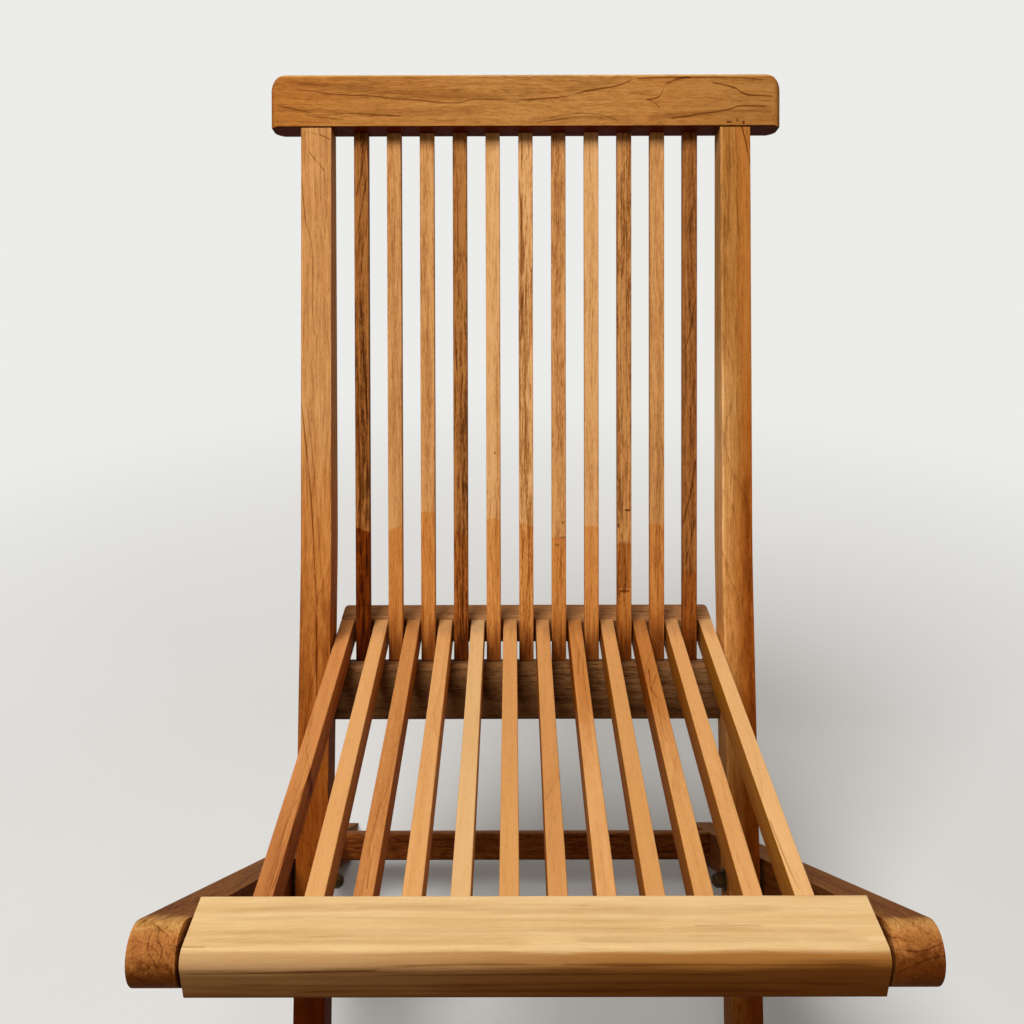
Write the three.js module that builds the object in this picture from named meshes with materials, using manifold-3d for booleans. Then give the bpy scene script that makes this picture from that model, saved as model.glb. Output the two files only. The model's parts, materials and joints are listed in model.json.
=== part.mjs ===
// Folding slatted chair in teak, without arms, at full size in millimetres.
// X runs from left to right, Y from front to back and Z up. The floor is at Z zero.
// Two bent posts carry the back and stand on the front feet. Two straight legs cross them on
// the outside, stand on the rear feet and carry the seat's front rail at their rounded tops.
import * as THREE from 'three';
import { mergeVertices } from 'three/addons/utils/BufferGeometryUtils.js';
import Module from 'manifold-3d';

const wasm = await Module();
wasm.setup();

const { degToRad } = THREE.MathUtils;

// Clearances
const fitGap = 0.3;
const boltGap = 0.3;
const overrun = 2;

// Back frame: leans back from the frame pivot, where the legs cross the posts
const pivotHeight = 238;
const backLean = degToRad(26.7);
const postKick = degToRad(6.1);
const insideWidth = 361;
const postWidth = 28;
const postDepth = 36;
const postSetback = 1.5;
const bendHeight = 495;
const bendReach = 32;
const postTenonLength = 22;
const postTenonShoulder = 7;

// Crest rail: its underside lies this far from the pivot along the back
const crestRise = 694;
const crestLength = 474;
const crestHeight = 48.4;
const crestThickness = 28;
const backFace = 51;
const crestTopRadius = 18;
const crestEndRadius = 8;
const crestBackRadius = 14;
const crestFootRadius = 1.5;
const crestEase = 3.5;
const crestFootEase = 1.2;

// Back slats
const backSlatCount = 11;
const backSlatWidth = 13.5;
const backSlatThickness = 10.5;
const backSlatInset = 15.5;
const slatTenonLength = 12;
const slatTenonShoulder = 1.5;

// Lower back rail, which the seat slats rest on
const lowerRailThickness = 30;
const lowerRailHeight = 52;
const lowerRailNose = 7;
const lowerRailEase = 2;
const lowerTenonLength = 15;
const lowerTenonThickness = 8;
const lowerTenonInset = 2.5;
const lowerTenonShoulder = 7;

// Rear legs: direction, width and the distance from the frame pivot to the seat pivot
const legAngle = degToRad(39.8);
const legWidth = 39;
const legThickness = 29.5;
const legGap = 4.5;
const seatPivotReach = 322.5;

// Rear stretcher: centre above the floor, along the legs
const stretcherFootReach = 104;
const stretcherDepth = 36;
const stretcherHeight = 30;
const stretcherEase = 3;
const stretcherTenonLength = 14;
const stretcherTenonShoulder = 7;

// Seat: slats between a round-nosed front rail and a rear rail behind the back slats
const seatSlope = degToRad(5.2);
const frontRailThickness = 32.5;
const frontRailRise = 14.25;
const frontRailDepth = 52;
const frontRailNose = 18.8;
const frontRailTopRadius = 10;
const frontRailFootRadius = 3.5;
const frontRailEase = 2;
const frontRailGap = 2.5;
const seatSlatDrop = 2.5;
const seatSlatDepth = 23;
const seatSideGap = 1.65;
const endSlatGap = 4.1;
const nestGap = 2.25;
const seatTenonLength = 12;
const seatTenonShoulder = 2;
const rearRailDepth = 32;
const rearRailHeight = 26;
const rearRailSlip = 9;
const rearRailEase = 3;
const rearRailCorner = 8;

// Frame bolts, with a domed head, two washers, a spacer and a cap nut each
const frameBoltRadius = 4;
const frameHeadRadius = 8;
const frameHeadHeight = 4;
const frameWasherRadius = 10;
const washerThickness = 1.5;
const spacerRadius = 9;
const nutSides = 6;
const nutFlats = 13;
const nutHeight = 6;
const nutDomeHeight = 4.5;
const nutBoreDepth = 7;
const boltEndGap = 0.8;

// Seat bolts, with a domed head, a washer, a spacer and a threaded insert each
const seatBoltRadius = 3;
const seatHeadRadius = 6.5;
const seatHeadHeight = 3.5;
const seatWasherRadius = 8.5;
const insertRadius = 6;
const insertLength = 24;
const insertRecess = 0.5;

// Steps of round stretches
const arcSteps = 8;
const roundSides = 32;
const domeSteps = 5;

// Widths worked out across the chair
const spareWidth = insideWidth - 2 * (seatSideGap + endSlatGap);
const slatSlots = backSlatCount - 1;
const seatSlatCount = backSlatCount + 1;
const slatsWidth = spareWidth - backSlatCount * backSlatWidth - slatSlots * 2 * nestGap;
const seatSlatWidth = slatsWidth / seatSlatCount;
const slatPitch = backSlatWidth + seatSlatWidth + 2 * nestGap;
const postInner = insideWidth / 2;
const postOuter = postInner + postWidth;
const legInner = postOuter + legGap;
const legOuter = legInner + legThickness;
const frontRailHalf = legInner - frontRailGap;
const rearRailHalf = postInner - seatSideGap;

// Places in the back's own plane: x is how far behind the pivot, y how far up the back
const crestFront = backFace - crestThickness;
const slatFront = crestFront + backSlatInset;
const slatRear = slatFront + backSlatThickness;
const lowerRailFront = backFace - lowerRailThickness;
const legTilt = Math.PI / 2 - legAngle;
const stretcherReach = pivotHeight / Math.sin(legAngle) - stretcherFootReach;
const seatPivot = new THREE.Vector2(
  -seatPivotReach * Math.cos(legAngle - backLean),
  seatPivotReach * Math.sin(legAngle - backLean),
);
const seatTurn = backLean - seatSlope;

// Places on the seat: y is how far behind the seat pivot, z how far above it
const frontRailFoot = frontRailRise - frontRailThickness;
const frontRailBack = frontRailDepth - frontRailNose;
const seatSlatTop = frontRailRise - seatSlatDrop;
const seatSlatFoot = seatSlatTop - seatSlatDepth;
const rearRailFront = (slatRear + rearRailSlip - seatPivot.x + seatSlatTop * Math.sin(seatTurn))
  / Math.cos(seatTurn);

// The lower rail's rounded front edge just clears the underside of the seat slats
const noseToPivot = lowerRailFront + lowerRailNose - seatPivot.x;
const noseClear = seatSlatFoot - lowerRailNose - fitGap;
const lowerRailTop = seatPivot.y + lowerRailNose
  + (noseClear + noseToPivot * Math.sin(seatTurn)) / Math.cos(seatTurn);
const lowerRailFoot = lowerRailTop - lowerRailHeight;

// Materials
const teak = (colour) => new THREE.MeshStandardMaterial({ color: colour, roughness: 0.62 });
const honeyTeak = teak(0xc98a4a);
const paleTeak = teak(0xdcae72);
const darkTeak = teak(0x9a6234);
const redTeak = teak(0xa8683a);
const brass = new THREE.MeshStandardMaterial({ color: 0xb08d4f, metalness: 0.9, roughness: 0.38 });
const slatTones = [honeyTeak, redTeak, honeyTeak, darkTeak, paleTeak];
const seatTones = [paleTeak, honeyTeak, paleTeak];

// Solids for joins and cuts
function solidOf(geometry) {
  geometry.deleteAttribute('normal');
  geometry.deleteAttribute('uv');
  const merged = mergeVertices(geometry);
  const vertProperties = new Float32Array(merged.attributes.position.array);
  const triVerts = new Uint32Array(merged.index.array);
  return new wasm.Manifold(new wasm.Mesh({ numProp: 3, vertProperties, triVerts }));
}

function geometryOf(solid) {
  const { vertProperties, triVerts } = solid.getMesh();
  const geometry = new THREE.BufferGeometry();
  geometry.setAttribute('position', new THREE.BufferAttribute(vertProperties, 3));
  geometry.setIndex(new THREE.BufferAttribute(triVerts, 1));
  geometry.computeVertexNormals();
  return geometry;
}

// Box between two values on each axis
function block([left, right], [front, back], [foot, top]) {
  const geometry = new THREE.BoxGeometry(right - left, back - front, top - foot);
  geometry.translate((left + right) / 2, (front + back) / 2, (foot + top) / 2);
  return solidOf(geometry);
}

// Outline through corners given as x, y and the radius that rounds them, anticlockwise
function roundedOutline(corners) {
  const shape = new THREE.Shape();
  corners.forEach(([x, y, radius], index) => {
    const corner = new THREE.Vector2(x, y);
    const towards = (step) => {
      const [nextX, nextY] = corners.at((index + step) % corners.length);
      return new THREE.Vector2(nextX, nextY).sub(corner).normalize();
    };
    const before = towards(-1);
    const after = towards(1);
    const half = Math.acos(before.dot(after)) / 2;
    const inward = before.clone().add(after).normalize();
    const centre = corner.clone().addScaledVector(inward, radius / Math.sin(half));
    const start = corner.clone().addScaledVector(before, radius / Math.tan(half)).sub(centre);
    const end = corner.clone().addScaledVector(after, radius / Math.tan(half)).sub(centre);
    shape.absarc(centre.x, centre.y, radius, start.angle(), end.angle(), false);
  });
  return shape;
}

function rectangle([left, right], [foot, top], [leftFoot, rightFoot, rightTop, leftTop]) {
  return roundedOutline([
    [left, foot, leftFoot],
    [right, foot, rightFoot],
    [right, top, rightTop],
    [left, top, leftTop],
  ]);
}

// Board with its outline seen from the side (y, z), from the front (x, z) or from above (x, y)
function extruded(shape, [from, to], toX, toY, toZ) {
  const geometry = new THREE.ExtrudeGeometry(shape, {
    depth: to - from,
    bevelEnabled: false,
    curveSegments: arcSteps,
  });
  geometry.translate(0, 0, from);
  geometry.applyMatrix4(new THREE.Matrix4().makeBasis(toX, toY, toZ));
  return solidOf(geometry);
}

const axisX = new THREE.Vector3(1, 0, 0);
const axisY = new THREE.Vector3(0, 1, 0);
const axisZ = new THREE.Vector3(0, 0, 1);
const sideBoard = (shape, span) => extruded(shape, span, axisY, axisZ, axisX);
const planBoard = (shape, span) => extruded(shape, span, axisX, axisY, axisZ);

function frontBoard(shape, [front, back]) {
  return extruded(shape, [-back, -front], axisX, axisZ, axisY.clone().negate());
}

// Round bar along X
function bar(radius, [from, to]) {
  const geometry = new THREE.CylinderGeometry(radius, radius, to - from, roundSides);
  geometry.rotateZ(-Math.PI / 2);
  geometry.translate((from + to) / 2, 0, 0);
  return solidOf(geometry);
}

// Turned piece along X, from its outline of distance along X and radius
function turned(outline) {
  const points = outline.map(([along, radius]) => new THREE.Vector2(radius, along));
  const geometry = new THREE.LatheGeometry(points, roundSides);
  geometry.rotateZ(-Math.PI / 2);
  return solidOf(geometry);
}

const mirrored = (solid) => solid.mirror([1, 0, 0]);

function addPiece(group, name, solid, material) {
  const mesh = new THREE.Mesh(geometryOf(solid), material);
  mesh.name = name;
  group.add(mesh);
}

// A piece made for the right side and its mirror image for the left
function addPair(group, name, solid, material) {
  addPiece(group, `${name}_right`, solid, material);
  addPiece(group, `${name}_left`, mirrored(solid), material);
}

// Back frame group: turned so that its own Z runs up the back and its Y out behind it
const backFrame = new THREE.Group();
backFrame.position.z = pivotHeight;
backFrame.rotation.x = -backLean;

const heightOf = (point) => pivotHeight
  - point.x * Math.sin(backLean) + point.y * Math.cos(backLean);

function reachHeight(start, direction, height) {
  const rise = heightOf(start.clone().add(direction)) - heightOf(start);
  return start.clone().addScaledVector(direction, (height - heightOf(start)) / rise);
}

// Bent post: the lower part kicks forward, the upper part narrows towards the crest
function makePost() {
  const along = new THREE.Vector2(Math.sin(postKick), Math.cos(postKick));
  const across = new THREE.Vector2(Math.cos(postKick), -Math.sin(postKick));
  const frontLine = across.clone().multiplyScalar(-postDepth / 2);
  const backLine = across.clone().multiplyScalar(postDepth / 2);
  const top = crestRise - fitGap;
  const frontTop = new THREE.Vector2(crestFront + postSetback, top);
  const backTop = new THREE.Vector2(backFace, top);
  const frontFoot = reachHeight(frontLine, along, 0);
  const backFoot = reachHeight(backLine, along, 0);
  const frontBend = reachHeight(frontLine, along, bendHeight);
  const backBend = backLine.clone().addScaledVector(along, (backFace - backLine.x) / along.x);
  const beside = (bend, end) => bend.clone()
    .addScaledVector(end.clone().sub(bend).normalize(), bendReach);
  const shape = new THREE.Shape();
  const lineTo = (point) => shape.lineTo(point.x, point.y);
  const bendTo = (bend, end) => shape.quadraticCurveTo(bend.x, bend.y, end.x, end.y);
  shape.moveTo(frontFoot.x, frontFoot.y);
  lineTo(backFoot);
  lineTo(beside(backBend, backFoot));
  bendTo(backBend, beside(backBend, backTop));
  lineTo(backTop);
  lineTo(frontTop);
  lineTo(beside(frontBend, frontTop));
  bendTo(frontBend, beside(frontBend, frontFoot));
  const board = sideBoard(shape, [postInner, postOuter]);
  const tenon = block(...postTenonBox(0));
  const hole = bar(frameBoltRadius + boltGap, [postInner - overrun, postOuter + overrun]);
  return board.add(tenon).subtract(hole).subtract(block(...lowerTenonBox(fitGap)));
}

function postTenonBox(gap) {
  const shoulder = postTenonShoulder - gap;
  return [
    [postInner + shoulder, postOuter - shoulder],
    [crestFront + postSetback + shoulder, backFace - shoulder],
    [crestRise - overrun, crestRise + postTenonLength + gap],
  ];
}

function lowerTenonBox(gap) {
  const front = lowerRailFront + lowerTenonInset;
  return [
    [postInner - overrun, postInner + lowerTenonLength + gap],
    [front - gap, front + lowerTenonThickness + gap],
    [lowerRailFoot + lowerTenonShoulder - gap, lowerRailTop - lowerTenonShoulder + gap],
  ];
}

// Centre of each back slat across the chair
function backSlatPlace(index) {
  return (index - (backSlatCount - 1) / 2) * slatPitch;
}

function slatTenonBox(place, [foot, top], gap) {
  const half = backSlatWidth / 2 - slatTenonShoulder + gap;
  const front = slatFront + slatTenonShoulder - gap;
  const back = slatRear - slatTenonShoulder + gap;
  return [[place - half, place + half], [front, back], [foot - gap, top + gap]];
}

const slatFoot = lowerRailTop + fitGap;
const slatTop = crestRise - fitGap;
const slatTenonSpan = [lowerRailTop - slatTenonLength, crestRise + slatTenonLength];

function makeBackSlat(place) {
  const half = backSlatWidth / 2;
  const slat = block([place - half, place + half], [slatFront, slatRear], [slatFoot, slatTop]);
  return slat.add(block(...slatTenonBox(place, slatTenonSpan, 0)));
}

function cutSlatMortises(solid) {
  let cut = solid;
  for (let index = 0; index < backSlatCount; index += 1) {
    cut = cut.subtract(block(...slatTenonBox(backSlatPlace(index), slatTenonSpan, fitGap)));
  }
  return cut;
}

// Crest rail: rounded at its top corners, at its ends and along its edges
function makeCrestRail() {
  const half = crestLength / 2;
  const topEdge = crestRise + crestHeight;
  const across = [-half, half];
  const upright = [crestRise, topEdge];
  const deep = [crestFront, backFace];
  const ease = [crestFootEase, crestFootEase, crestEase, crestEase];
  const frontRadii = [crestFootRadius, crestFootRadius, crestTopRadius, crestTopRadius];
  const front = frontBoard(rectangle(across, upright, frontRadii), deep);
  const endRadii = [crestEndRadius, crestEndRadius, crestBackRadius, crestBackRadius];
  const plan = planBoard(rectangle(across, deep, endRadii), upright);
  const side = sideBoard(rectangle(deep, upright, ease), across);
  const mortise = block(...postTenonBox(fitGap));
  const rail = front.intersect(plan).intersect(side);
  return cutSlatMortises(rail.subtract(mortise).subtract(mirrored(mortise)));
}

function makeLowerRail() {
  const radii = [lowerRailEase, lowerRailEase, lowerRailEase, lowerRailNose];
  const outline = rectangle([lowerRailFront, backFace], [lowerRailFoot, lowerRailTop], radii);
  const half = postInner - fitGap;
  const tenon = block(...lowerTenonBox(0));
  const rail = sideBoard(outline, [-half, half]).add(tenon).add(mirrored(tenon));
  return cutSlatMortises(rail);
}

addPair(backFrame, 'post', makePost(), honeyTeak);
addPiece(backFrame, 'crest_rail', makeCrestRail(), honeyTeak);
addPiece(backFrame, 'lower_back_rail', makeLowerRail(), darkTeak);
for (let index = 0; index < backSlatCount; index += 1) {
  const name = `back_slat_${String(index + 1).padStart(2, '0')}`;
  const tone = slatTones[index % slatTones.length];
  addPiece(backFrame, name, makeBackSlat(backSlatPlace(index)), tone);
}

// Rear leg group: turned so that its own Z runs up the legs, from the rear feet to the seat
const rearLegFrame = new THREE.Group();
rearLegFrame.position.z = pivotHeight;
rearLegFrame.rotation.x = legTilt;

function stretcherTenonBox(gap) {
  const shoulder = stretcherTenonShoulder - gap;
  const back = legWidth / 2;
  return [
    [legInner - overrun, legInner + stretcherTenonLength + gap],
    [back - stretcherHeight + shoulder, back - shoulder],
    [-stretcherReach - stretcherDepth / 2 + shoulder, -stretcherReach + stretcherDepth / 2 - shoulder],
  ];
}

function makeRearLeg() {
  const half = legWidth / 2;
  const footAt = (y) => -(pivotHeight + y * Math.sin(legTilt)) / Math.cos(legTilt);
  const shape = new THREE.Shape();
  shape.moveTo(-half, footAt(-half));
  shape.lineTo(half, footAt(half));
  shape.lineTo(half, seatPivotReach);
  shape.absarc(0, seatPivotReach, half, 0, Math.PI, false);
  const board = sideBoard(shape, [legInner, legOuter]);
  const through = [legInner - overrun, legOuter + overrun];
  const frameHole = bar(frameBoltRadius + boltGap, through);
  const seatHole = bar(seatBoltRadius + boltGap, through).translate([0, 0, seatPivotReach]);
  return board.subtract(frameHole).subtract(seatHole).subtract(block(...stretcherTenonBox(fitGap)));
}

function makeStretcher() {
  const back = legWidth / 2;
  const span = [back - stretcherHeight, back];
  const rise = [-stretcherReach - stretcherDepth / 2, -stretcherReach + stretcherDepth / 2];
  const outline = rectangle(span, rise, Array(4).fill(stretcherEase));
  const half = legInner - fitGap;
  const tenon = block(...stretcherTenonBox(0));
  return sideBoard(outline, [-half, half]).add(tenon).add(mirrored(tenon));
}

addPair(rearLegFrame, 'rear_leg', makeRearLeg(), redTeak);
addPiece(rearLegFrame, 'rear_stretcher', makeStretcher(), darkTeak);

// Seat group: its own Y runs back along the slats from the seat pivot
const seat = new THREE.Group();
seat.position.y = -seatPivotReach * Math.cos(legAngle);
seat.position.z = pivotHeight + seatPivotReach * Math.sin(legAngle);
seat.rotation.x = -seatSlope;

// Centre of each seat slat: one in each slot of the back, and one beside each post
function seatSlatPlace(index) {
  const centred = (index - (seatSlatCount - 1) / 2) * slatPitch;
  const outermost = rearRailHalf - seatSlatWidth / 2;
  const isOutermost = index === 0 || index === seatSlatCount - 1;
  return isOutermost ? Math.sign(centred) * outermost : centred;
}

function seatTenonBox(place, gap) {
  const half = seatSlatWidth / 2 - seatTenonShoulder + gap;
  const foot = seatSlatFoot + seatTenonShoulder - gap;
  const top = seatSlatTop - seatTenonShoulder + gap;
  const front = frontRailBack - seatTenonLength - gap;
  const back = rearRailFront + seatTenonLength + gap;
  return [[place - half, place + half], [front, back], [foot, top]];
}

function makeSeatSlat(place) {
  const half = seatSlatWidth / 2;
  const run = [frontRailBack + fitGap, rearRailFront - fitGap];
  const slat = block([place - half, place + half], run, [seatSlatFoot, seatSlatTop]);
  return slat.add(block(...seatTenonBox(place, 0)));
}

function cutSeatMortises(solid) {
  let cut = solid;
  for (let index = 0; index < seatSlatCount; index += 1) {
    cut = cut.subtract(block(...seatTenonBox(seatSlatPlace(index), fitGap)));
  }
  return cut;
}

function makeFrontRail() {
  const radii = [frontRailFootRadius, frontRailEase, frontRailEase, frontRailTopRadius];
  const deep = [-frontRailNose, frontRailBack];
  const outline = rectangle(deep, [frontRailFoot, frontRailRise], radii);
  const rail = sideBoard(outline, [-frontRailHalf, frontRailHalf]);
  const boreEnd = frontRailHalf - insertRecess - insertLength - fitGap;
  const bore = bar(insertRadius + fitGap, [boreEnd, frontRailHalf + overrun]);
  return cutSeatMortises(rail.subtract(bore).subtract(mirrored(bore)));
}

function makeRearRail() {
  const deep = [rearRailFront, rearRailFront + rearRailDepth];
  const rise = [seatSlatTop - rearRailHeight, seatSlatTop];
  const across = [-rearRailHalf, rearRailHalf];
  const side = sideBoard(rectangle(deep, rise, Array(4).fill(rearRailEase)), across);
  const cornerRadii = [rearRailEase, rearRailEase, rearRailCorner, rearRailCorner];
  const plan = planBoard(rectangle(across, deep, cornerRadii), rise);
  return cutSeatMortises(side.intersect(plan));
}

addPiece(seat, 'seat_front_rail', makeFrontRail(), paleTeak);
addPiece(seat, 'seat_rear_rail', makeRearRail(), darkTeak);
for (let index = 0; index < seatSlatCount; index += 1) {
  const name = `seat_slat_${String(index + 1).padStart(2, '0')}`;
  const tone = seatTones[index % seatTones.length];
  addPiece(seat, name, makeSeatSlat(seatSlatPlace(index)), tone);
}

// Bolt along X: domed head outside, shank running inwards to its end
function makeBolt(head, headRadius, headHeight, shankRadius, end) {
  const outline = [[end, 0], [end, shankRadius], [head, shankRadius], [head, headRadius]];
  for (let step = 1; step <= domeSteps; step += 1) {
    const angle = (step / domeSteps) * (Math.PI / 2);
    outline.push([head + headHeight * Math.sin(angle), headRadius * Math.cos(angle)]);
  }
  return turned(outline);
}

function makeRing(outerRadius, innerRadius, [from, to]) {
  return bar(outerRadius, [from, to])
    .subtract(bar(innerRadius, [from - overrun, to + overrun]));
}

// Frame bolts: leg outside, spacer between leg and post, nut inside the post
const frameHoleRadius = frameBoltRadius + boltGap;
const outerWasher = [legOuter + fitGap, legOuter + fitGap + washerThickness];
const innerWasher = [postInner - fitGap - washerThickness, postInner - fitGap];
const headSeat = outerWasher[1] + fitGap;
const nutFace = innerWasher[0] - fitGap;
const boltEnd = nutFace - nutBoreDepth + boltEndGap;

function makeCapNut() {
  const cornerRadius = nutFlats / 2 / Math.cos(Math.PI / nutSides);
  const hexagon = new THREE.CylinderGeometry(cornerRadius, cornerRadius, nutHeight, nutSides);
  hexagon.rotateZ(-Math.PI / 2);
  hexagon.translate(nutFace - nutHeight / 2, 0, 0);
  const base = nutFace - nutHeight;
  const domeRadius = nutFlats / 2;
  const outline = [[base + overrun, 0], [base + overrun, domeRadius], [base, domeRadius]];
  for (let step = 1; step <= domeSteps; step += 1) {
    const angle = (step / domeSteps) * (Math.PI / 2);
    outline.push([base - nutDomeHeight * Math.sin(angle), domeRadius * Math.cos(angle)]);
  }
  const dome = turned(outline.reverse());
  const bore = bar(frameHoleRadius, [nutFace - nutBoreDepth, nutFace + overrun]);
  return solidOf(hexagon).add(dome).subtract(bore);
}

const frameBolt = makeBolt(headSeat, frameHeadRadius, frameHeadHeight, frameBoltRadius, boltEnd);
const frameSpacer = makeRing(spacerRadius, frameHoleRadius, [postOuter + fitGap, legInner - fitGap]);
addPair(backFrame, 'frame_bolt', frameBolt, brass);
addPair(backFrame, 'frame_outer_washer', makeRing(frameWasherRadius, frameHoleRadius, outerWasher), brass);
addPair(backFrame, 'frame_spacer', frameSpacer, brass);
addPair(backFrame, 'frame_inner_washer', makeRing(frameWasherRadius, frameHoleRadius, innerWasher), brass);
addPair(backFrame, 'frame_cap_nut', makeCapNut(), brass);

// Seat bolts: through the leg's rounded top into an insert in the end of the front rail
const seatHoleRadius = seatBoltRadius + boltGap;
const insertFace = frontRailHalf - insertRecess;
const seatBoltEnd = insertFace - insertLength + boltEndGap;
const seatBolt = makeBolt(headSeat, seatHeadRadius, seatHeadHeight, seatBoltRadius, seatBoltEnd);
const seatSpacer = makeRing(seatWasherRadius, seatHoleRadius, [frontRailHalf + fitGap, legInner - fitGap]);
const seatInsert = makeRing(insertRadius, seatHoleRadius, [insertFace - insertLength, insertFace]);
addPair(seat, 'seat_bolt', seatBolt, brass);
addPair(seat, 'seat_washer', makeRing(seatWasherRadius, seatHoleRadius, outerWasher), brass);
addPair(seat, 'seat_spacer', seatSpacer, brass);
addPair(seat, 'seat_insert', seatInsert, brass);

// Whole chair, centred front to back on its outer box
const chair = new THREE.Group();
chair.add(backFrame, rearLegFrame, seat);
const outerBox = new THREE.Box3().setFromObject(chair, true);
chair.position.y = -(outerBox.min.y + outerBox.max.y) / 2;

export default chair;
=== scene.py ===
# Looks of the folding slatted chair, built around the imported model, in metres
import json
import math
import random
from collections import namedtuple

import bmesh
import bpy
from mathutils import Matrix, Vector

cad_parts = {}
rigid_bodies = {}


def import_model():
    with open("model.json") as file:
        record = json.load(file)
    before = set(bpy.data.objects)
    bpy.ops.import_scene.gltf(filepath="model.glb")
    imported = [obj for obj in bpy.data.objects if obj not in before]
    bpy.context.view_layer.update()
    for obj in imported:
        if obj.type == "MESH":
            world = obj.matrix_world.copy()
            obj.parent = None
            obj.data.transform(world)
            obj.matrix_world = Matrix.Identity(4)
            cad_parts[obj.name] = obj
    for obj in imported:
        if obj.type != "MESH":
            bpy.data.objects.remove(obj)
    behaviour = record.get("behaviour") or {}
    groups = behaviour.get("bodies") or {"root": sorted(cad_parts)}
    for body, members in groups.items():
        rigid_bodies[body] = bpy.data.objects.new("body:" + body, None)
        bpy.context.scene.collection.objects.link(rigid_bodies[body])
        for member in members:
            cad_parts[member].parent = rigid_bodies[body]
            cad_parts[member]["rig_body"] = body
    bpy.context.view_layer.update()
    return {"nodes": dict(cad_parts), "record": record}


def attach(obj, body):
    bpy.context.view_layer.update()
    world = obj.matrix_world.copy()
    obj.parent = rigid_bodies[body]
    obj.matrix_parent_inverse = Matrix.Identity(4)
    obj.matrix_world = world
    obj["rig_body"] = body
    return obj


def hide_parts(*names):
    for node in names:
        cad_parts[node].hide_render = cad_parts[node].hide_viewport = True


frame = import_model()

# Pivot and turn that lay the axes of each body along its pieces
FRAME_PIVOT = (0, -0.05505, 0.238)
SEAT_PIVOT = (0, -0.30282, 0.44444)
BODY_PLACES = {
    "back_frame": (FRAME_PIVOT, math.radians(-26.7)),
    "rear_leg_frame": (FRAME_PIVOT, math.radians(50.2)),
    "seat": (SEAT_PIVOT, math.radians(-5.2)),
}

MM = 1000

slot_of = {entry["node"]: entry["material_slot"] for entry in frame["record"]["subparts"]}


def linear(colour):
    """Linear colour with alpha from 0 to 255 values as a screen shows them."""
    parts = [value / 255 for value in colour]
    return (*[p / 12.92 if p <= 0.04045 else ((p + 0.055) / 1.055) ** 2.4 for p in parts], 1)


def centre_of(node, body):
    """Middle of a solid in its body's own axes."""
    pivot, turn = BODY_PLACES[body]
    inward = Matrix.Rotation(-turn, 3, "X")
    points = [inward @ (vertex.co - Vector(pivot)) for vertex in frame["nodes"][node].data.vertices]
    return {
        letter: (min(p[axis] for p in points) + max(p[axis] for p in points)) / 2
        for axis, letter in enumerate("XYZ")
    }


# Camera at the photograph's place and angle

PHOTO_SIDE = 1024
FOCAL_PIXELS = 1032
SENSOR = 36
FAR_CLIP = 100
CAMERA_PLACE = (-0.0127, -0.73605, 0.973)
PITCH = math.radians(27.55)
ROLL = math.radians(0.15)
YAW = math.radians(-0.05)


def make_camera():
    data = bpy.data.cameras.new("camera")
    data.sensor_width = SENSOR
    data.lens = FOCAL_PIXELS / PHOTO_SIDE * SENSOR
    data.clip_end = FAR_CLIP
    camera = bpy.data.objects.new("camera", data)
    right = Vector((1, 0, 0))
    ahead = Vector((0, math.cos(PITCH), -math.sin(PITCH)))
    down = Vector((0, -math.sin(PITCH), -math.cos(PITCH)))
    rolled_right = math.cos(ROLL) * right + math.sin(ROLL) * down
    rolled_down = -math.sin(ROLL) * right + math.cos(ROLL) * down
    axes = Matrix((rolled_right, -rolled_down, -ahead)).transposed()
    turn = Matrix.Rotation(-YAW, 3, "Z")
    camera.matrix_world = Matrix.Translation(CAMERA_PLACE) @ (turn @ axes).to_4x4()
    bpy.context.scene.collection.objects.link(camera)
    bpy.context.scene.camera = camera


# Node trees

# Noises: waves per metre along the grain and across it, detail, roughness
Noise = namedtuple("Noise", "along across detail roughness", defaults=(2.0, 0.5))


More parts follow.
